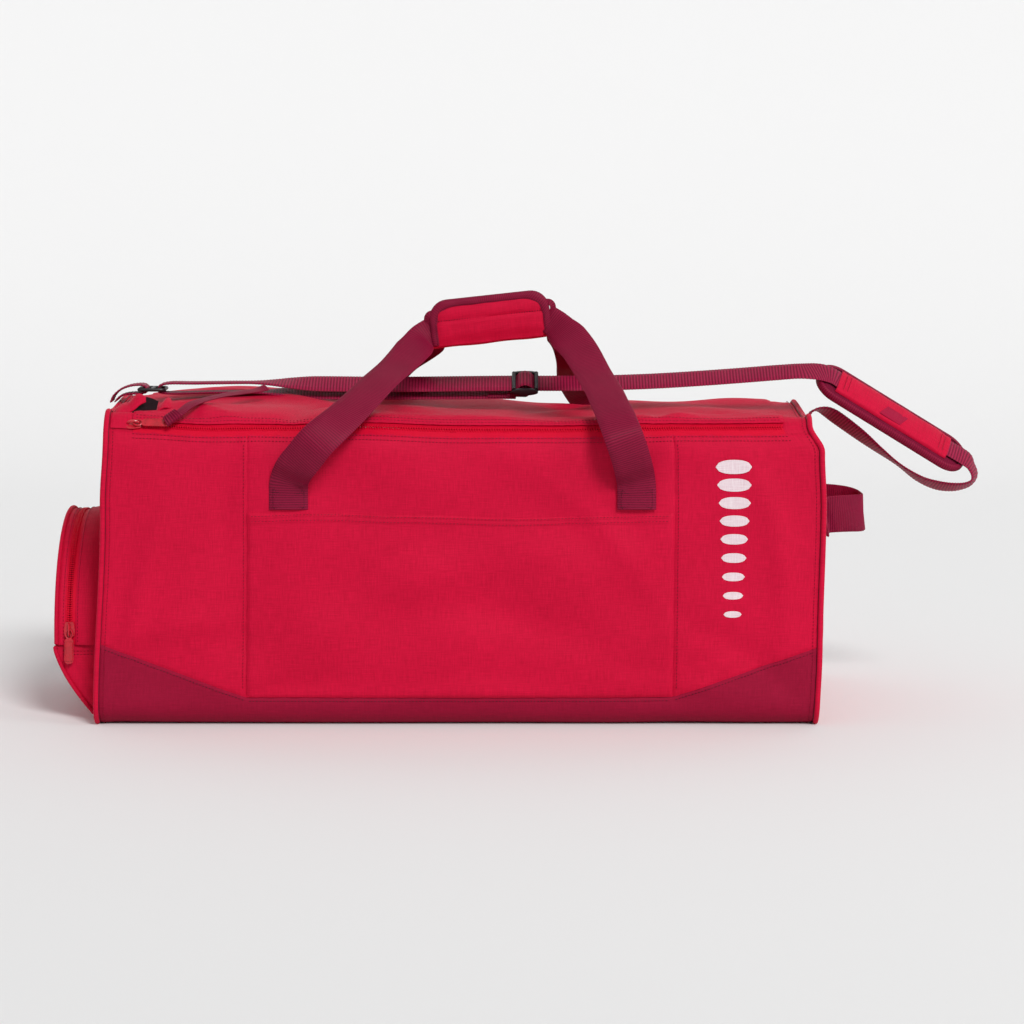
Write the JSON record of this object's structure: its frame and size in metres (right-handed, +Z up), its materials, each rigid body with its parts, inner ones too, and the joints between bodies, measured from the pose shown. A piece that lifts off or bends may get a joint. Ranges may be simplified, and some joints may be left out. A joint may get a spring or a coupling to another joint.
{
  "type": "sports equipment bag",
  "caption": "Soft holdall with a zipped mouth, zipped end pocket, patch pocket, wrapped carry handles, end grab handle and padded shoulder strap.",
  "frame": {"origin": "on the floor, under the middle of the bag's body", "axes": "+X along the bag towards the grab handle end, -Y towards the zip and patch pocket, +Z up"},
  "size_m": [0.9902, 0.4096, 0.4448],
  "materials": {
    "red_fabric": "woven polyester, satin",
    "maroon_fabric": "coated woven polyester, matt",
    "webbing": "ribbed polypropylene webbing, satin",
    "red_tape": "woven zip tape, satin",
    "red_coil": "moulded coil, satin",
    "red_enamel": "enamelled die casting, gloss",
    "black_plastic": "moulded, satin",
    "board": "stiff plastic sheet, matt",
    "foam": "spacer mesh over foam, matt",
    "hook_loop": "hook and loop tape, matt"
  },
  "bodies": {
    "root": {"base_panel": "maroon_fabric", "front_left_panel": "red_fabric", "front_centre_panel": "red_fabric", "front_right_panel": "red_fabric", "front_pocket_panel": "red_fabric", "back_panel": "red_fabric", "top_rear_panel": "red_fabric", "top_left_strip": "red_fabric", "top_right_strip": "red_fabric", "left_end_panel": "red_fabric", "right_end_panel": "red_fabric", "left_end_piping": "red_fabric", "right_end_piping": "red_fabric", "base_board": "board", "main_zip_front_tape": "red_tape", "main_zip_front_teeth": "red_coil", "main_zip_end_tab": "red_fabric", "front_handle_patches": "webbing", "back_handle_patches": "webbing", "front_handle_lower_legs": "webbing", "back_handle_lower_legs": "webbing", "front_handle_upper_legs": "webbing", "back_handle_upper_legs": "webbing", "end_handle_loop": "webbing", "end_handle_patches": "webbing", "strap_left_anchor": "webbing", "strap_ring": "black_plastic", "strap_right_anchor": "webbing", "strap_lower_run": "webbing", "strap_long_run": "webbing", "strap_return_run": "webbing", "pocket_inner_gusset": "red_fabric", "pocket_inner_zip_half": "red_coil", "pocket_lower_panel": "red_fabric", "pocket_lower_gussets": "red_fabric"},
    "mouth_flap": {"mouth_flap_panel": "red_fabric", "main_zip_rear_tape": "red_tape", "main_zip_rear_teeth": "red_coil"},
    "main_zip_slider": {"main_zip_slider_body": "red_enamel"},
    "main_zip_pull": {"main_zip_pull_tab": "red_enamel", "main_zip_ribbon": "webbing"},
    "pocket_face": {"pocket_face_panel": "red_fabric", "pocket_face_gusset": "red_fabric", "pocket_outer_zip_half": "red_coil", "pocket_face_piping": "red_fabric"},
    "pocket_zip_slider": {"pocket_zip_slider_body": "red_enamel"},
    "pocket_zip_pull": {"pocket_zip_pull_tab": "red_enamel"},
    "strap_adjuster": {"strap_adjuster_frame": "black_plastic", "strap_adjuster_wrap": "webbing"},
    "strap_pad": {"pad_foam": "foam", "pad_sleeve": "red_fabric", "pad_binding": "webbing", "pad_patch": "maroon_fabric"},
    "carry_grip": {"grip_back_leaf": "red_fabric", "handle_grip_runs": "webbing", "grip_loop_tape": "hook_loop"},
    "grip_flap": {"grip_front_leaf": "red_fabric", "grip_binding": "webbing", "grip_hook_tape": "hook_loop"}
  },
  "joints": [
    {"name": "main_zip_travel", "type": "slide", "parent": "root", "child": "main_zip_slider", "axis": [1, 0, 0], "range_m": [0, 0.655]},
    {"name": "mouth_gather", "type": "slide", "parent": "root", "child": "mouth_flap", "axis": [0, 1, 0], "range_m": [0, 0.12]},
    {"name": "main_zip_pull_flip", "type": "hinge", "parent": "main_zip_slider", "child": "main_zip_pull", "pos_m": [-0.333, -0.15632, 0.31732], "axis": [0, -0.7071, -0.7071], "range_deg": [0, 90]},
    {"name": "pocket_zip_travel", "type": "hinge", "parent": "root", "child": "pocket_zip_slider", "pos_m": [-0.4062, 0, 0.08], "axis": [-1, 0, 0], "range_deg": [0, 165]},
    {"name": "pocket_face_tilt", "type": "hinge", "parent": "root", "child": "pocket_face", "pos_m": [-0.4195, 0, 0.0772], "axis": [0, -1, 0], "range_deg": [0, 35]},
    {"name": "pocket_zip_pull_flip", "type": "hinge", "parent": "pocket_zip_slider", "child": "pocket_zip_pull", "pos_m": [-0.4062, -0.13201, 0.09621], "axis": [-1, 0, 0], "range_deg": [0, 160]},
    {"name": "strap_adjuster_travel", "type": "slide", "parent": "root", "child": "strap_adjuster", "axis": [1, 0, 0], "range_m": [-0.16, 0], "deforming": ["strap_lower_run"]},
    {"name": "strap_pad_travel", "type": "slide", "parent": "root", "child": "strap_pad", "axis": [0.8526, 0, -0.5225], "range_m": [-0.012, 0]},
    {"name": "handle_lift", "type": "slide", "parent": "root", "child": "carry_grip", "axis": [0, 0, 1], "range_m": [-0.03, 0.02], "deforming": ["front_handle_upper_legs", "back_handle_upper_legs"]},
    {"name": "grip_flap_open", "type": "hinge", "parent": "carry_grip", "child": "grip_flap", "pos_m": [0.03583, -0.0072, 0.38795], "axis": [0.9942, 0, 0.108], "range_deg": [0, 110]}
  ],
  "couplings": [
    {"joint": "main_zip_travel", "follows": "mouth_gather", "ratio": 5.4583},
    {"joint": "pocket_zip_travel", "follows": "pocket_face_tilt", "ratio": 4.7143}
  ]
}
